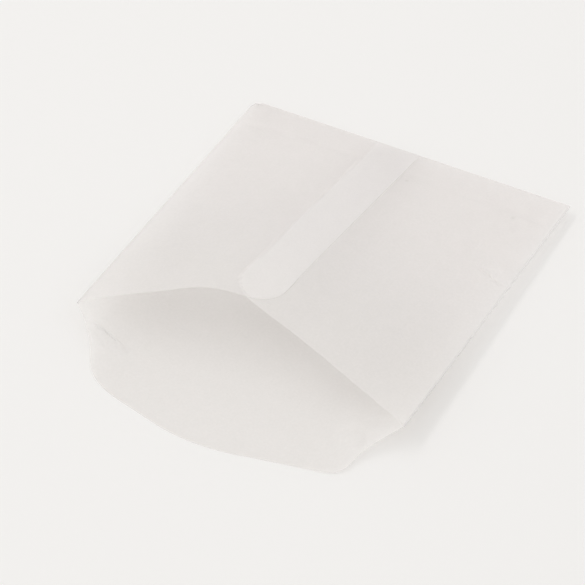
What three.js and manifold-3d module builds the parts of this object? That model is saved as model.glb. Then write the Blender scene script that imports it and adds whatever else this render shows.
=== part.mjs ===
import * as THREE from 'three';
import { mergeVertices } from 'three/addons/utils/BufferGeometryUtils.js';
import Module from 'manifold-3d';

// A glassine envelope, one cut sheet of thin translucent paper folded and glued into an open pouch.
// It lies with its seam up, still bulged and open as its contents left it. All sizes are in millimetres.
// X runs across the envelope, Y from the closing flap to the closed end, and Z up from the table.

const width = 101.6;
const depth = 104;
const closingFlap = 26;
const paper = 0.2;
const glue = 0.12;

// Heights of the folded corners over the table, and of the crown that the contents pushed up
const cornerHeight = { closedLeft: 1, closedRight: 3, mouthLeft: 7.5, mouthRight: 7 };
const crown = { x: -8, height: 18.3, climb: 0.2, rounding: 1.4, crease: 0.35 };
const lump = { x: -16, fromClosedEnd: 91, height: 2.2, across: 10, along: 13 };

// The foot is where the lower panel lies flat; outside it the panel rises to the folds, over a width that
// grows from its value at the sides to its value at the mouth between two distances from the closed end
const rise = { atClosedEnd: 14, atSides: 12, atMouth: 25, power: 1.6, widensFrom: 60, widensTo: 100 };

// How the height of the folds dies away past the mouth, down to the closing flap's tip
const settle = 1.3;

// Each side flap: how far its free edge passes the centre line, and how its mouth end is cut
const rightFlap = { side: 1, past: 10.8, slant: 0.242, corner: 10, onTop: false };
const leftFlap = { side: -1, past: 3, slant: 0.3, corner: 9, onTop: true };
const lapStep = 2.5;

// The end flap is turned in at the closed end and glued under the side flaps
const endFlap = { length: 12, inset: 1.5 };

// The closing flap's outline on each side, as distances out from the centre line and back from its tip
const rightTip = { round: [8, 16, 2.3], straight: [36, 6.4], corner: [41.6, 7.5, 42, 12.5], hip: [43, 19.5] };
const leftTip = { round: [6, 12, 1.3], straight: [26, 4.8], corner: [37, 7.7, 40, 14], hip: [43.5, 21.5] };

// How finely each stretch of paper is divided, and how much its columns gather towards the side folds
const cells = { bottom: 12, fold: 4, flap: 22, along: 22, endAcross: 24, endAlong: 3, endRound: 8 };
const gather = 1.8;

const foldRadius = paper;
const halfWidth = width / 2;
const foldX = halfWidth - foldRadius - paper / 2;
const endRadius = 1.5 * paper;
const closedY = (depth + closingFlap) / 2;
const endY = closedY - endRadius;
const mouthY = closedY - depth;
const tipY = mouthY - closingFlap;

const clamp = THREE.MathUtils.clamp;
const lerp = THREE.MathUtils.lerp;

// Height of the side folds and of the closed end's fold, carried on across the panels between them.
// Past the mouth it dies away, because the closing flap comes down to the table.
function edgeHeight(x, y) {
  const across = x / width + 0.5;
  const toMouth = clamp((closedY - y) / depth, 0, 1);
  const closed = lerp(cornerHeight.closedLeft, cornerHeight.closedRight, across);
  const mouth = lerp(cornerHeight.mouthLeft, cornerHeight.mouthRight, across);
  const pastMouth = clamp((mouthY - y) / closingFlap, 0, 1);
  return lerp(closed, mouth, toMouth) * Math.pow(1 - pastMouth, settle);
}

function lowerHeight(x, y) {
  const fromClosedEnd = closedY - y;
  const widening = clamp((fromClosedEnd - rise.widensFrom) / (rise.widensTo - rise.widensFrom), 0, 1);
  const sideRise = lerp(rise.atSides, rise.atMouth, widening);
  const atSide = Math.pow(clamp(1 - (halfWidth - Math.abs(x)) / sideRise, 0, 1), rise.power);
  const atEnd = Math.pow(clamp(1 - fromClosedEnd / rise.atClosedEnd, 0, 1), rise.power);
  return edgeHeight(x, y) * (1 - (1 - atSide) * (1 - atEnd));
}

// The crown's ridge climbs evenly from the closed end and levels off before the mouth
function ridgeHeight(fromClosedEnd) {
  const climbing = edgeHeight(crown.x, closedY) + crown.climb * fromClosedEnd;
  const gap = climbing - crown.height;
  return (climbing + crown.height - Math.hypot(gap, crown.rounding)) / 2;
}

// Across, the panel is drawn down from the crown to its folds: rounder to the left, straighter to the right
function acrossCrown(x) {
  if (x < crown.x) return 1 - Math.pow((crown.x - x) / (halfWidth + crown.x), 2);
  const out = (x - crown.x) / (halfWidth - crown.x);
  return 1 - (Math.hypot(out, crown.crease) - crown.crease) / (Math.hypot(1, crown.crease) - crown.crease);
}

function upperHeight(x, y) {
  const fromClosedEnd = closedY - y;
  const swell = (ridgeHeight(fromClosedEnd) - edgeHeight(crown.x, y)) * acrossCrown(x);
  const lumpReach = Math.hypot((x - lump.x) / lump.across, (fromClosedEnd - lump.fromClosedEnd) / lump.along);
  return edgeHeight(x, y) + 2 * foldRadius + swell + lump.height * Math.exp(-lumpReach * lumpReach);
}

// The flap on top steps up over the other where the two lap
function lapHeight(x, flap) {
  if (!flap.onTop) return 0;
  const ontoLap = clamp((x + rightFlap.past + lapStep) / lapStep, 0, 1);
  return (paper - glue) * ontoLap;
}

// A point on a panel, with the direction across the paper's thickness that faces into the pouch
function onPanel(x, y, height, facing) {
  const reach = 0.5;
  const slopeX = (height(x + reach, y) - height(x - reach, y)) / (2 * reach);
  const slopeY = (height(x, y + reach) - height(x, y - reach)) / (2 * reach);
  const inward = new THREE.Vector3(-slopeX, -slopeY, 1).normalize().multiplyScalar(facing);
  return { point: new THREE.Vector3(x, y, paper / 2 + height(x, y)), inward };
}

// Outline of one half of the closing flap, from its tip to the mouth corner
function tipOutline(tip) {
  const path = new THREE.Path();
  path.moveTo(0, tipY);
  path.quadraticCurveTo(tip.round[0], tipY, tip.round[1], tipY + tip.round[2]);
  path.lineTo(tip.straight[0], tipY + tip.straight[1]);
  path.quadraticCurveTo(tip.corner[0], tipY + tip.corner[1], tip.corner[2], tipY + tip.corner[3]);
  path.quadraticCurveTo(tip.hip[0], tipY + tip.hip[1], foldX, mouthY);
  return path;
}

// The mouth cut of one side flap, from the mouth corner to its rounded corner at the seam
function mouthCut(flap) {
  const centreX = flap.corner - flap.past;
  const centreY = mouthY + flap.slant * (foldX - centreX) + flap.corner * Math.hypot(1, flap.slant);
  const tangent = -Math.PI / 2 - Math.atan(flap.slant);
  const path = new THREE.Path();
  path.moveTo(foldX, mouthY);
  path.lineTo(centreX + flap.corner * Math.cos(tangent), centreY + flap.corner * Math.sin(tangent));
  path.absarc(centreX, centreY, flap.corner, tangent, -Math.PI, true);
  return path;
}

// A flat blank of paper, divided into cells, each corner of it then laid where place(column, row) says
function layPaper(columns, rows, place, turned) {
  const blank = new THREE.BoxGeometry(columns, rows, paper, columns, rows, 1);
  blank.deleteAttribute('normal');
  blank.deleteAttribute('uv');
  const sheet = mergeVertices(blank);
  const corners = sheet.getAttribute('position');
  for (let i = 0; i < corners.count; i++) {
    const column = Math.round(corners.getX(i) + columns / 2);
    const row = Math.round(corners.getY(i) + rows / 2);
    const { point, inward } = place(column, row);
    point.addScaledVector(inward, corners.getZ(i));
    corners.setXYZ(i, point.x, point.y, point.z);
  }
  if (turned) sheet.setIndex(Array.from(sheet.index.array).reverse());
  return sheet;
}

// Half of the envelope: from the centre line out over the lower panel, round the side fold and back
// over the side flap to its free edge
function halfEnvelope(flap, tip) {
  const tipPath = tipOutline(tip);
  const mouthPath = mouthCut(flap);
  const columns = cells.bottom + cells.fold + cells.flap;
  const flapHeight = (x, y) => upperHeight(x, y) + lapHeight(x, flap);

  function place(column, row) {
    const along = row / cells.along;
    if (column < cells.bottom) {
      const out = 1 - Math.pow(1 - column / cells.bottom, gather);
      const mouthEnd = tipPath.getPointAt(out);
      const x = lerp(foldX * out, mouthEnd.x, along) * flap.side;
      return onPanel(x, lerp(endY, mouthEnd.y, along), lowerHeight, 1);
    }
    if (column <= cells.bottom + cells.fold) {
      const turn = Math.PI * ((column - cells.bottom) / cells.fold - 0.5);
      const y = lerp(endY, mouthY, along);
      const round = new THREE.Vector3(Math.cos(turn) * flap.side, 0, Math.sin(turn));
      const middle = paper / 2 + edgeHeight(flap.side * halfWidth, y) + foldRadius;
      const point = new THREE.Vector3(foldX * flap.side, y, middle).addScaledVector(round, foldRadius);
      return { point, inward: round.negate() };
    }
    const back = (1 - Math.cos(Math.PI * (column - cells.bottom - cells.fold) / cells.flap)) / 2;
    const mouthEnd = mouthPath.getPointAt(back);
    const x = lerp(lerp(foldX, -flap.past, back), mouthEnd.x, along) * flap.side;
    return onPanel(x, lerp(endY, mouthEnd.y, along), flapHeight, -1);
  }

  return layPaper(columns, cells.along, place, flap.side > 0);
}

// The end flap lies flat under the side flaps, just inside the closed end
function turnedInEnd() {
  const reach = foldX - endFlap.inset;
  const height = (x, y) => upperHeight(x, y) - paper + glue;
  const place = (column, row) => {
    const x = lerp(-reach, reach, column / cells.endAcross);
    return onPanel(x, endY - endFlap.length * row / cells.endAlong, height, 1);
  };
  return layPaper(cells.endAcross, cells.endAlong, place, true);
}

// The rounded edge that the sheet makes where it turns over at the closed end
function closedFold() {
  const left = new THREE.Vector3(-halfWidth, endY, edgeHeight(-halfWidth, closedY) + endRadius);
  const right = new THREE.Vector3(halfWidth, endY, edgeHeight(halfWidth, closedY) + endRadius);
  const along = right.clone().sub(left);
  const edge = new THREE.CylinderGeometry(endRadius, endRadius, width, cells.endRound);
  edge.rotateZ(-Math.PI / 2);
  edge.rotateY(-Math.atan2(along.z, along.x));
  edge.translate(0, endY, (left.z + right.z) / 2);
  edge.deleteAttribute('normal');
  edge.deleteAttribute('uv');
  return mergeVertices(edge);
}

const wasm = await Module();
wasm.setup();

function solidOf(geometry) {
  const vertProperties = new Float32Array(geometry.getAttribute('position').array);
  const triVerts = new Uint32Array(geometry.index.array);
  return new wasm.Manifold(new wasm.Mesh({ numProp: 3, vertProperties, triVerts }));
}

function geometryOf(solid) {
  const { vertProperties, triVerts } = solid.getMesh();
  const geometry = new THREE.BufferGeometry();
  geometry.setAttribute('position', new THREE.BufferAttribute(vertProperties, 3));
  geometry.setIndex(new THREE.BufferAttribute(triVerts, 1));
  geometry.computeVertexNormals();
  return geometry;
}

function foldedEnvelope() {
  const right = solidOf(halfEnvelope(rightFlap, rightTip));
  const left = solidOf(halfEnvelope(leftFlap, leftTip));
  return geometryOf(right.add(left).add(solidOf(turnedInEnd())).add(solidOf(closedFold())));
}

const glassine = new THREE.MeshStandardMaterial({ color: 0xe6e5e2, roughness: 0.55, metalness: 0 });
glassine.transparent = true;
glassine.opacity = 0.7;

const envelope = new THREE.Mesh(foldedEnvelope(), glassine);
envelope.name = 'envelope';

const group = new THREE.Group();
group.add(envelope);

export default group;
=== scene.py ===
import math

import bpy
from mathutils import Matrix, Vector, noise


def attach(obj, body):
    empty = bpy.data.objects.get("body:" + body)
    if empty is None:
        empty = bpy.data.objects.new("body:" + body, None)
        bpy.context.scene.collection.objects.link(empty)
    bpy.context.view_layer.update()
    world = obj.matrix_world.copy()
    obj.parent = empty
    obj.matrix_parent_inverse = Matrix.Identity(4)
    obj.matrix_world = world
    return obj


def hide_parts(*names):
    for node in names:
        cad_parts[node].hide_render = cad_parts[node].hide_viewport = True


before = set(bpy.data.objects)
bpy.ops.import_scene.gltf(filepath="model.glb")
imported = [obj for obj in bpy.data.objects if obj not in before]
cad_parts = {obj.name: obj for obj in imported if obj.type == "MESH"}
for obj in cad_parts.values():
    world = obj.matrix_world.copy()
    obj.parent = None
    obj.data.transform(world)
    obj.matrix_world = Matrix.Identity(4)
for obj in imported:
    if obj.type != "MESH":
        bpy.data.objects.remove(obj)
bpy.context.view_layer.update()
bpy.ops.object.select_all(action="DESELECT")
print("frame loaded")

mm = 0.001

# The envelope in millimetres: X across, Y from the closing flap to the closed end, Z up from the table.
paper = {
    "width": 101.6,
    "depth": 104.0,
    "closingFlap": 26.0,
    "thickness": 0.08,
    "foldRadius": 0.2,
    # the flat parts of the under side clear the table by this much
    "clearance": 0.03,
    # height of the folded corners over the table, and how fast it dies away past the mouth
    "corners": {"closedLeft": 1.0, "closedRight": 3.0, "mouthLeft": 7.5, "mouthRight": 7.0, "settle": 1.3},
    # the tip of the closed end's left corner hangs down a little
    "droop": {"depth": 0.9, "reach": 3.4},
    # how the upper panel bulges: a crown, with a lump on it near the mouth
    "crown": {"x": -8.0, "height": 18.3, "climb": 0.2, "rounding": 1.4, "crease": 0.35},
    "lump": {"x": -16.0, "fromClosedEnd": 91.0, "height": 2.2, "across": 10.0, "along": 13.0},
    # how far in from its folds the lower panel rises off the table, wider near the mouth
    "rise": {
        "atClosedEnd": 14.0,
        "atSides": 12.0,
        "atMouth": 25.0,
        "power": 1.6,
        "widensFrom": 60.0,
        "widensTo": 100.0,
    },
    # where the lower panel is free to ripple: from a little inside the mouth, and in from its sides
    "loose": {"inside": 6.0, "over": 12.0, "sides": 6.0, "ripple": 0.6},
    # where each side flap's free edge stands past the centre line, and how its mouth end is cut
    "rightFlap": {"side": 1, "past": 10.8, "slant": 0.242, "corner": 10.0},
    "leftFlap": {"side": -1, "past": 3.0, "slant": 0.3, "corner": 9.0},
    # where the left flap lies glued on the right one the two are one doubled layer. The right flap's grid
    # stops a little way inside it, and a thin line of painted shadow marks the cut edge
    "lap": {
        "climb": 2.5,
        "height": 0.07,
        "tuck": 0.35,
        "step": 0.7,
        # the cut edge's painted shadow line: its width and how dark it is
        "edgeLine": 0.2,
        "edgeShadeTone": 0.5,
    },
    # the flap turned in at the closed end, glued flat under the side flaps. Its rim tucks into them
    "endFlap": {"length": 12.0, "inset": 1.5, "step": 2.4, "tuck": 1.2, "turnCells": 6, "tuckCells": 2},
    # the closing flap's outline: distances out from the centre line and back from its tip
    "rightTip": {
        "round": (8, 16, 2.3),
        "straight": (36, 6.4),
        "corner": (41.6, 7.5, 42, 12.5),
        "hip": (43, 19.5),
    },
    "leftTip": {
        "round": (6, 12, 1.3),
        "straight": (26, 4.8),
        "corner": (37, 7.7, 40, 14),
        "hip": (43.5, 21.5),
    },
    # soft unevenness of paper that has been held and used
    "ripple": {
        "height": 0.13,
        "size": 17.0,
        "fineHeight": 0.035,
        "fineSize": 5.5,
        "inFromFolds": 9.0,
        "upperLayer": 0.4,
        "lowerLayer": 7.3,
    },
    # creases as (start, end, height, width), with a negative height for a dent. The power says how soon they
    # rise from their ends
    "creasePower": 0.7,
    "flapCreases": [
        ((38.6, 29.0), (49.8, 24.8), -1.1, 0.8),
        ((42.5, 32.5), (49.8, 27.0), 0.45, 2.4),
        ((36.2, 38.5), (36.0, 28.5), -0.45, 1.6),
        ((-43.1, 51.2), (-36.2, 48.9), 0.25, 0.7),
    ],
    "lipCreases": [
        ((-47.5, -41.2), (-33.0, -43.8), 2.6, 1.3),
        ((37.2, -39.8), (46.5, -35.0), -1.1, 1.5),
        ((33.5, -47.5), (41.0, -43.5), 1.0, 3.2),
    ],
    # grid cells across each part of the sheet and along it, and points in each curve of its cuts
    "cells": {"bottom": 46, "fold": 6, "flap": 76, "along": 148, "curve": 24},
    # how strongly the cells crowd together towards the folds
    "crowding": {"bottom": 1.5, "flap": 0.6},
    "mergeDistance": 0.01,
    "smoothAngle": 40.0,
}

corners = paper["corners"]
crown = paper["crown"]
lump = paper["lump"]
rise = paper["rise"]
ripple = paper["ripple"]
halfWidth = paper["width"] / 2
foldX = halfWidth - paper["foldRadius"] - paper["thickness"] / 2
turnRadius = paper["foldRadius"] + paper["thickness"] / 2
closedY = (paper["depth"] + paper["closingFlap"]) / 2
endY = closedY - turnRadius
mouthY = closedY - paper["depth"]
tipY = mouthY - paper["closingFlap"]


def blend(a, b, share):
    return a + (b - a) * share


def limited(value):
    return min(max(value, 0.0), 1.0)


def eased(value):
    value = limited(value)
    return value * value * (3 - 2 * value)


# height of the side folds and the closed end's fold, carried across the panels between them
def edgeHeight(x, y):
    across = x / paper["width"] + 0.5
    closed = blend(corners["closedLeft"], corners["closedRight"], across)
    mouth = blend(corners["mouthLeft"], corners["mouthRight"], across)
    pastMouth = limited((mouthY - y) / paper["closingFlap"])
    level = blend(closed, mouth, limited((closedY - y) / paper["depth"]))
    level *= (1 - pastMouth) ** corners["settle"]
    droop = paper["droop"]
    fromCorner = math.hypot(x + halfWidth, y - closedY)
    return level - droop["depth"] * eased(1 - fromCorner / droop["reach"])


# how far a point stands off its panel for the creases that pass it
def creased(x, y, creases):
    height = 0
    for start, end, lift, width in creases:
        along = Vector(end) - Vector(start)
        offset = Vector((x, y)) - Vector(start)
        share = offset.dot(along) / along.length_squared
        if 0 < share < 1:
            aside = (offset - along * share).length / width
            height += lift * math.exp(-aside * aside) * math.sin(math.pi * share) ** paper["creasePower"]
    return height


def rippled(x, y, layer):
    broad = noise.noise(Vector((x / ripple["size"], y / ripple["size"], layer)))
    fine = noise.noise(Vector((x / ripple["fineSize"], y / ripple["fineSize"], layer)))
    return ripple["height"] * broad + ripple["fineHeight"] * fine


def lowerHeight(x, y):
    fromClosedEnd = closedY - y
    widening = limited((fromClosedEnd - rise["widensFrom"]) / (rise["widensTo"] - rise["widensFrom"]))
    sideRise = blend(rise["atSides"], rise["atMouth"], widening)
    atSide = limited(1 - (halfWidth - abs(x)) / sideRise) ** rise["power"]
    atEnd = limited(1 - fromClosedEnd / rise["atClosedEnd"]) ** rise["power"]
    level = edgeHeight(x, y) * (1 - (1 - atSide) * (1 - atEnd))
    loose = paper["loose"]
    free = eased((mouthY + loose["inside"] - y) / loose["over"])
    free *= eased((halfWidth - abs(x)) / loose["sides"])
    uneven = creased(x, y, paper["lipCreases"]) + loose["ripple"] * rippled(x, y, ripple["lowerLayer"])
    return max(level + free * uneven, paper["clearance"])


# the crown's ridge climbs evenly from the closed end and levels off before the mouth
def ridgeHeight(fromClosedEnd):
    climbing = edgeHeight(crown["x"], closedY) + crown["climb"] * fromClosedEnd
    gap = climbing - crown["height"]
    return (climbing + crown["height"] - math.hypot(gap, crown["rounding"])) / 2


def acrossCrown(x):
    if x < crown["x"]:
        return 1 - ((crown["x"] - x) / (halfWidth + crown["x"])) ** 2
    out = (x - crown["x"]) / (halfWidth - crown["x"])
    crease = crown["crease"]
    return 1 - (math.hypot(out, crease) - crease) / (math.hypot(1, crease) - crease)


def upperHeight(x, y):
    fromClosedEnd = closedY - y
    swell = (ridgeHeight(fromClosedEnd) - edgeHeight(crown["x"], y)) * acrossCrown(x)
    lumpAcross = (x - lump["x"]) / lump["across"]
    lumpAlong = (fromClosedEnd - lump["fromClosedEnd"]) / lump["along"]
    reach = math.hypot(lumpAcross, lumpAlong)
    free = eased((halfWidth - abs(x)) / ripple["inFromFolds"])
    free *= eased(fromClosedEnd / ripple["inFromFolds"])
    level = edgeHeight(x, y) + 2 * paper["foldRadius"] + swell + lump["height"] * math.exp(-reach * reach)
    return level + free * rippled(x, y, ripple["upperLayer"]) + creased(x, y, paper["flapCreases"])


# a quadratic curve as a run of points
def curvePoints(start, control, end):
    points = []
    count = paper["cells"]["curve"]
    for step in range(1, count + 1):
        t = step / count
        x = (1 - t) ** 2 * start[0] + 2 * t * (1 - t) * control[0] + t * t * end[0]
        y = (1 - t) ** 2 * start[1] + 2 * t * (1 - t) * control[1] + t * t * end[1]
        points.append((x, y))
    return points


# the point at a share of the way along a run of points
def alongPoints(points, share):
    lengths = [math.dist(a, b) for a, b in zip(points, points[1:])]
    left = share * sum(lengths)
    for a, b, length in zip(points, points[1:], lengths):
        if left <= length:
            return blend(a[0], b[0], left / length), blend(a[1], b[1], left / length)
        left -= length
    return points[-1]


def tipOutline(tip):
    start = (0, tipY)
    roundEnd = (tip["round"][1], tipY + tip["round"][2])
    straightEnd = (tip["straight"][0], tipY + tip["straight"][1])
    cornerEnd = (tip["corner"][2], tipY + tip["corner"][3])
    points = [start]
    points += curvePoints(start, (tip["round"][0], tipY), roundEnd)
    points += curvePoints(straightEnd, (tip["corner"][0], tipY + tip["corner"][1]), cornerEnd)
    points += curvePoints(cornerEnd, (tip["hip"][0], tipY + tip["hip"][1]), (foldX, mouthY))
    return points


# the centre of the rounded mouth corner of a side flap, seen with the flap's own fold to its right
def cornerCentre(flap):
    centreX = flap["corner"] - flap["past"]
    centreY = mouthY + flap["slant"] * (foldX - centreX) + flap["corner"] * math.hypot(1, flap["slant"])
    return centreX, centreY


# the mouth cut of one side flap, from the mouth corner to its rounded corner at the seam
def mouthCut(flap):
    radius = flap["corner"]
    centreX, centreY = cornerCentre(flap)
    tangent = math.pi / 2 + math.atan(flap["slant"])
    points = [(foldX, mouthY)]
    count = paper["cells"]["curve"]
    for step in range(count + 1):
        turn = blend(tangent, math.pi, step / count)
        points.append((centreX + radius * math.cos(turn), centreY - radius * math.sin(turn)))
    return points


# one half of the sheet, column by column: out over the lower panel, round the fold, back over the flap
def halfColumns(flap, tip):
    side = flap["side"]
    cells = paper["cells"]
    crowding = paper["crowding"]
    tipPoints = tipOutline(tip)
    mouthPoints = mouthCut(flap)
    columns = []
    for step in range(cells["bottom"]):
        out = 1 - (1 - step / cells["bottom"]) ** crowding["bottom"]
        columns.append((side, "lower", foldX * out, alongPoints(tipPoints, out), 0))
    for step in range(cells["fold"] + 1):
        turn = math.pi * (step / cells["fold"] - 0.5)
        columns.append((side, "fold", foldX, (foldX, mouthY), turn))
    for step in range(1, cells["flap"] + 1):
        even = step / cells["flap"]
        back = blend(even, (1 - math.cos(math.pi * even)) / 2, crowding["flap"])
        closedX = blend(foldX, -flap["past"], back)
        columns.append((side, "upper", closedX, alongPoints(mouthPoints, back), 0))
    return columns


# how far a point lies inside a side flap's free edge and rounded mouth corner
def insideFlap(x, y, flap):
    centreX, centreY = cornerCentre(flap)
    out = x * flap["side"] - centreX
    down = centreY - y
    if down < 0:
        return out + flap["corner"]
    if out < down * flap["slant"]:
        return flap["corner"] - math.hypot(out, down)
    return flap["corner"] - (down - out * flap["slant"]) / math.hypot(1, flap["slant"])


# the same point drawn back to just inside the left flap's outline, if it is further in, and whether it is
def drawnBack(x, y):
    flap = paper["leftFlap"]
    further = insideFlap(x, y, flap) - paper["lap"]["tuck"]
    if further <= 0:
        return x, y, False
    centreX, centreY = cornerCentre(flap)
    if y > centreY:
        return x + further, y, True
    fromCentre = Vector((x * flap["side"] - centreX, y - centreY))
    if fromCentre.length < paper["lap"]["tuck"]:
        return x, y, True
    placed = fromCentre * ((flap["corner"] - paper["lap"]["tuck"]) / fromCentre.length)
    return (placed.x + centreX) * flap["side"], placed.y + centreY, True


# how far a point of the side flaps is over the glued end flap, from 0 to 1
def overEndFlap(x, y):
    endFlap = paper["endFlap"]
    inside = min(y - (closedY - endFlap["length"]), halfWidth - endFlap["inset"] - abs(x))
    return limited(inside / endFlap["step"])


# where the paper's outer face lies, in millimetres, for a column and a share of its way to the mouth,
# with its shares of the paper's marks, and whether the left flap stands for the right one there
def foldedPoint(column, along):
    side, panel, closedX, mouthEnd, turn = column
    x = blend(closedX, mouthEnd[0], along) * side
    y = blend(endY, mouthEnd[1], along)
    if panel == "lower":
        return Vector((x, y, lowerHeight(x, y))), (0, 0, 0), False
    if panel == "fold":
        out = side * turnRadius * math.cos(turn)
        height = edgeHeight(side * halfWidth, y) + turnRadius * (1 + math.sin(turn))
        # the fold carries the painted fold shade
        return Vector((x + out, y, height)), (0, 0, 1), False
    if side == paper["rightFlap"]["side"]:
        x, y, covered = drawnBack(x, y)
        height = upperHeight(x, y) + paper["thickness"]
        return Vector((x, y, height)), (overEndFlap(x, y), 0, 0), covered
    lap = paper["lap"]
    onLap = eased((x + paper["rightFlap"]["past"] + lap["climb"]) / lap["climb"])
    height = upperHeight(x, y) + paper["thickness"] + lap["height"] * onLap
    lapped = limited(insideFlap(x, y, paper["rightFlap"]) / lap["step"])
    doubled = max(overEndFlap(x, y), lapped)
    # a thin line of painted shadow along the left flap's cut edge
    atEdge = insideFlap(x, y, paper["leftFlap"]) < lap["edgeLine"]
    return Vector((x, y, height)), (doubled, lapped, lapped * atEdge * lap["edgeShadeTone"]), False


# what the material and the thickness read at each point: a second glued layer, the lap, and painted shade
# along a fold or cut edge
marks = ("doubled", "lapped", "folded")
# a doubled layer is two papers thick, and elsewhere the sheet is this share of it
singleShare = 0.5


def addGrid(name, columns, rows):
    bpy.ops.object.select_all(action="DESELECT")
    bpy.ops.mesh.primitive_grid_add(x_subdivisions=columns, y_subdivisions=rows, size=1)
    grid = bpy.context.object
    grid.name = name
    grid.data.name = name
    for mark in marks:
        grid.data.attributes.new(mark, "FLOAT", "POINT")
    return grid


# the main sheet, from the left flap's free edge under the pouch to the right flap's
def makeSheet():
    left = halfColumns(paper["leftFlap"], paper["leftTip"])
    right = halfColumns(paper["rightFlap"], paper["rightTip"])
    columns = left[:0:-1] + right
    rows = paper["cells"]["along"]
    blank = addGrid("envelopePaper", len(columns) - 1, rows)
    bpy.ops.object.mode_set(mode="EDIT")
    bpy.ops.mesh.select_mode(type="VERT")
    bpy.ops.mesh.select_all(action="DESELECT")
    bpy.ops.object.mode_set(mode="OBJECT")
    layers = [blank.data.attributes[mark].data for mark in marks]
    for vertex in blank.data.vertices:
        column = round((vertex.co.x + 0.5) * (len(columns) - 1))
        row = round((0.5 - vertex.co.y) * rows)
        place, shares, vertex.select = foldedPoint(columns[column], row / rows)
        vertex.co = place * mm
        for layer, share in zip(layers, shares):
            layer[vertex.index].value = share
    bpy.ops.object.mode_set(mode="EDIT")
    bpy.ops.mesh.delete(type="FACE")
    bpy.ops.object.mode_set(mode="OBJECT")
    return blank, columns


# the closed end's rim goes on from the lower panel's edge, turns over and tucks into the side flaps. Its
# turned part keeps the shape of the panel's edge
def makeClosedRim(columns):
    endFlap = paper["endFlap"]
    across = [c for c in columns if c[1] == "lower"]
    rows = endFlap["turnCells"] + endFlap["tuckCells"]
    blank = addGrid("closedRim", len(across) - 1, rows)
    for vertex in blank.data.vertices:
        column = round((vertex.co.x + 0.5) * (len(across) - 1))
        row = round((vertex.co.y + 0.5) * rows)
        edge = foldedPoint(across[column], 0)[0]
        turn = math.pi * (min(row / endFlap["turnCells"], 1) - 0.5)
        edge += Vector((0, math.cos(turn) * turnRadius, (math.sin(turn) + 1) * turnRadius))
        if row > endFlap["turnCells"]:
            edge.y -= endFlap["tuck"] * (row - endFlap["turnCells"]) / endFlap["tuckCells"]
            edge.z = upperHeight(edge.x, edge.y) + paper["thickness"] / 2
        vertex.co = edge * mm
    return blank


def joinPieces(main, *others):
    bpy.ops.object.select_all(action="DESELECT")
    for piece in (main, *others):
        piece.select_set(True)
    bpy.context.view_layer.objects.active = main
    bpy.ops.object.join()
    bpy.ops.object.mode_set(mode="EDIT")
    bpy.ops.mesh.select_all(action="SELECT")
    bpy.ops.mesh.remove_doubles(threshold=paper["mergeDistance"] * mm)
    bpy.ops.object.mode_set(mode="OBJECT")
    return main


def applyModifier(piece, kind, **settings):
    modifier = piece.modifiers.new(kind.lower(), kind)
    for key, value in settings.items():
        setattr(modifier, key, value)
    bpy.context.view_layer.objects.active = piece
    bpy.ops.object.modifier_apply(modifier=modifier.name)


envelope, sheetColumns = makeSheet()
envelope = joinPieces(envelope, makeClosedRim(sheetColumns))
layers = envelope.vertex_groups.new(name="layers")
for vertex, doubled in zip(envelope.data.vertices, envelope.data.attributes["doubled"].data):
    layers.add([vertex.index], doubled.value, "REPLACE")
applyModifier(
    envelope,
    "SOLIDIFY",
    thickness=2 * paper["thickness"] * mm,
    offset=1,
    use_even_offset=False,
    vertex_group="layers",
    thickness_vertex_group=singleShare,
)
bpy.ops.object.mode_set(mode="EDIT")
bpy.ops.mesh.select_all(action="SELECT")
bpy.ops.mesh.normals_make_consistent(inside=False)
bpy.ops.object.mode_set(mode="OBJECT")
bpy.ops.object.shade_smooth_by_angle(angle=math.radians(paper["smoothAngle"]))
print("paper folded:", len(envelope.data.polygons), "faces")


# A socket that shader maths can be written with. Its node method adds any other node
class Sock:
    def __init__(self, tree, socket=None):
        self.tree = tree
        self.socket = socket

    def node(self, kind, settings=None, out=0, **inputs):
        made = self.tree.nodes.new(kind)
        for key, value in (settings or {}).items():
            setattr(made, key, value)
        for key, value in inputs.items():
            place = int(key[1:]) if key[1:].isdigit() else key.replace("_", " ")
            if isinstance(value, Sock):
                self.tree.links.new(value.socket, made.inputs[place])
            else:
                made.inputs[place].default_value = value
        return Sock(self.tree, None if out is None else made.outputs[out])

    def maths(self, operation, first, second):
        return self.node("ShaderNodeMath", {"operation": operation}, i0=first, i1=second)

    def __add__(self, other):
        return self.maths("ADD", self, other)

    def __mul__(self, other):
        return self.maths("MULTIPLY", self, other)

    def __sub__(self, other):
        return self.maths("SUBTRACT", self, other)

    def __rsub__(self, other):
        return self.maths("SUBTRACT", other, self)

    __radd__ = __add__


glassine = {
    "colour": (0.986, 0.976, 0.974, 1),
    "fibreColour": (0.968, 0.958, 0.956, 1),
    # painted shade towards the closing flap, darker and warmer, with less translucence: its colour, and
    # where it starts and is full
    "frontShadeColour": (0.945, 0.922, 0.9, 1),
    "frontShadeFrom": 0.03,
    "frontShadeTo": -0.022,
    "frontShadeTranslucence": 0.58,
    # painted shade along the side folds and the left flap's cut edge: darker and less translucent there
    "foldShadeColour": (0.84, 0.82, 0.81, 1),
    "foldShadeTranslucence": 0.4,
    # small faint specks in the paper as (place, radius) in metres
    "speckColour": (0.7, 0.68, 0.65, 1),
    "speckLoss": 0.3,
    "specks": [((0.0389, 0.0518, 0), 0.0012), ((0.0057, 0.0509, 0), 0.001)],
    "throughColour": (0.986, 0.976, 0.972, 1),
    "roughness": 0.4,
    "translucence": 0.85,
    "clearness": 0.54,
    "doubledDensity": 0.05,
    # the lap, where glue lies between the two layers
    "lapColour": (0.95, 0.935, 0.928, 1),
    "lapTranslucence": 0.66,
    "lapDensity": 0.16,
    # the paper's soft clouds and fine fibres
    "cloudScale": 260,
    "cloudDetail": 3.0,
    "fibreScale": 1500,
    "fibreDetail": 2.0,
    "cloudShare": 0.3,
    "patchiness": 0.06,
    "bumpStrength": 0.35,
    "bumpDistance": 0.00004,
}


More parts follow.
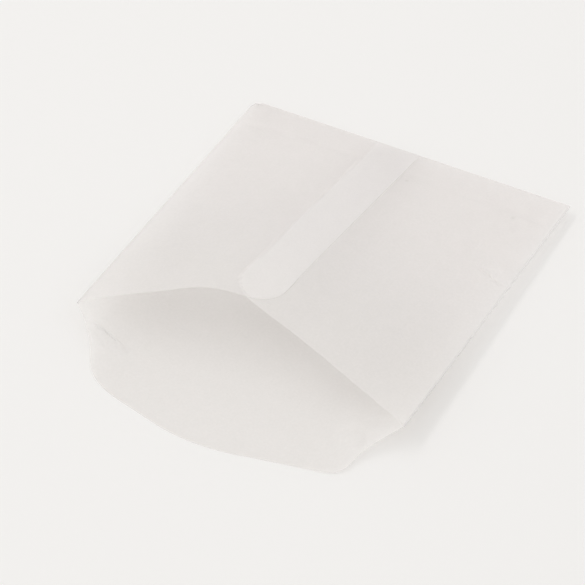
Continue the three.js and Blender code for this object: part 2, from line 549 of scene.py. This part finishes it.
def glassineMaterial():
    material = bpy.data.materials.new("glassinePaper")
    material.use_nodes = True
    tree = material.node_tree
    tree.nodes.clear()
    start = Sock(tree)
    place = start.node("ShaderNodeTexCoord", out="Object")
    cloud = start.node(
        "ShaderNodeTexNoise",
        Vector=place,
        Scale=glassine["cloudScale"],
        Detail=glassine["cloudDetail"],
    )
    fibre = start.node(
        "ShaderNodeTexNoise",
        Vector=place,
        Scale=glassine["fibreScale"],
        Detail=glassine["fibreDetail"],
    )
    patchy = cloud * glassine["cloudShare"] + fibre * (1 - glassine["cloudShare"])
    lengthwise = start.node("ShaderNodeSeparateXYZ", out=1, Vector=place)
    # painted shade, darker and warmer towards the closing flap
    frontShade = start.node(
        "ShaderNodeMapRange",
        {"interpolation_type": "SMOOTHSTEP"},
        Value=lengthwise,
        From_Min=glassine["frontShadeFrom"],
        From_Max=glassine["frontShadeTo"],
    )
    rgba = {"data_type": "RGBA"}
    fibreColour = glassine["fibreColour"]
    colour = start.node("ShaderNodeMix", rgba, 2, i0=patchy, i6=fibreColour, i7=glassine["colour"])
    # painted shade along the folds and the left flap's cut edge
    folded = start.node("ShaderNodeAttribute", {"attribute_name": "folded"}, out="Fac")
    flat = start.node("ShaderNodeVectorMath", {"operation": "MULTIPLY"}, i0=place, i1=(1, 1, 0))
    distance = {"operation": "DISTANCE"}
    speck = 0
    for middle, radius in glassine["specks"]:
        away = start.node("ShaderNodeVectorMath", distance, "Value", i0=flat, i1=middle)
        speck += start.node("ShaderNodeMapRange", Value=away, From_Min=radius, From_Max=0.0)
    lapped = start.node("ShaderNodeAttribute", {"attribute_name": "lapped"}, out="Fac")
    # the lap's glue tone, painted shade towards the closing flap, painted shade along the folds and cut
    # edge, and the specks
    tints = (
        (lapped, "lapColour"),
        (frontShade, "frontShadeColour"),
        (folded, "foldShadeColour"),
        (speck, "speckColour"),
    )
    for share, name in tints:
        colour = start.node("ShaderNodeMix", rgba, 2, i0=share, i6=colour, i7=glassine[name])
    bump = start.node(
        "ShaderNodeBump",
        Strength=glassine["bumpStrength"],
        Distance=glassine["bumpDistance"],
        Height=patchy,
    )
    front = start.node(
        "ShaderNodeBsdfPrincipled",
        Base_Color=colour,
        Roughness=glassine["roughness"],
        Normal=bump,
    )
    through = start.node("ShaderNodeBsdfTranslucent", Color=glassine["throughColour"])
    clear = start.node("ShaderNodeBsdfTransparent")
    frontShadeLoss = glassine["translucence"] - glassine["frontShadeTranslucence"]
    foldShadeLoss = glassine["translucence"] - glassine["foldShadeTranslucence"]
    lapLoss = glassine["translucence"] - glassine["lapTranslucence"]
    translucence = glassine["translucence"] - frontShade * frontShadeLoss - folded * foldShadeLoss
    translucence -= lapped * lapLoss
    translucence -= speck * glassine["speckLoss"]
    body = start.node("ShaderNodeMixShader", i0=translucence, i1=front, i2=through)
    doubled = start.node("ShaderNodeAttribute", {"attribute_name": "doubled"}, out="Fac")
    density = 1 - glassine["clearness"] + doubled * glassine["doubledDensity"]
    density += lapped * glassine["lapDensity"]
    density += (patchy - 0.5) * glassine["patchiness"]
    whole = start.node("ShaderNodeMixShader", i0=density, i1=clear, i2=body)
    start.node("ShaderNodeOutputMaterial", out=None, Surface=whole)
    return material


envelope.data.materials.clear()
envelope.data.materials.append(glassineMaterial())
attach(envelope, "root")
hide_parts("envelope")
print("glassine made")

table = {"colour": (0.9, 0.885, 0.865, 1), "roughness": 0.8, "size": 6}
studio = {
    "worldColour": (1.0, 1.0, 1.0, 1),
    "worldStrength": 0.89,
    "lampPlace": (-0.8, -0.14, 1.4),
    "lampLength": 1.7,
    "lampWidth": 0.34,
    "lampPower": 3.3,
}
camera = {
    "azimuth": 27.974,
    "elevation": 43.561,
    "distance": 1.3,
    "aim": (-0.00392, -0.00037, 0),
    "lens": 286.54,
    "sensorWidth": 36,
}


def makeTable():
    bpy.ops.object.select_all(action="DESELECT")
    bpy.ops.mesh.primitive_plane_add(size=table["size"])
    floor = bpy.context.object
    floor.name = "table"
    material = bpy.data.materials.new("paleTable")
    material.use_nodes = True
    shader = material.node_tree.nodes["Principled BSDF"]
    shader.inputs["Base Color"].default_value = table["colour"]
    shader.inputs["Roughness"].default_value = table["roughness"]
    floor.data.materials.append(material)


def makeWorld():
    world = bpy.data.worlds.new("studio")
    world.use_nodes = True
    background = world.node_tree.nodes["Background"]
    background.inputs["Color"].default_value = studio["worldColour"]
    background.inputs["Strength"].default_value = studio["worldStrength"]
    bpy.context.scene.world = world


# turns a lamp or camera to look from its place along a direction
def aimed(name, data, place, direction):
    made = bpy.data.objects.new(name, data)
    made.location = place
    made.rotation_mode = "QUATERNION"
    made.rotation_quaternion = direction.to_track_quat("-Z", "Y")
    bpy.context.collection.objects.link(made)
    return made


# a long window-like light on the left
def makeLamp():
    light = bpy.data.lights.new("window", "AREA")
    light.shape = "RECTANGLE"
    light.size = studio["lampLength"]
    light.size_y = studio["lampWidth"]
    light.energy = studio["lampPower"]
    place = Vector(studio["lampPlace"])
    aimed("window", light, place, -place)


def makeCamera():
    azimuth = math.radians(camera["azimuth"])
    elevation = math.radians(camera["elevation"])
    back = Vector((math.sin(azimuth), -math.cos(azimuth), 0)) * math.cos(elevation)
    back.z = math.sin(elevation)
    lens = bpy.data.cameras.new("camera")
    lens.lens = camera["lens"]
    lens.sensor_width = camera["sensorWidth"]
    place = Vector(camera["aim"]) + back * camera["distance"]
    bpy.context.scene.camera = aimed("camera", lens, place, -back)


makeTable()
makeWorld()
makeLamp()
makeCamera()
bpy.context.scene.view_settings.view_transform = "Standard"
print("stage set")
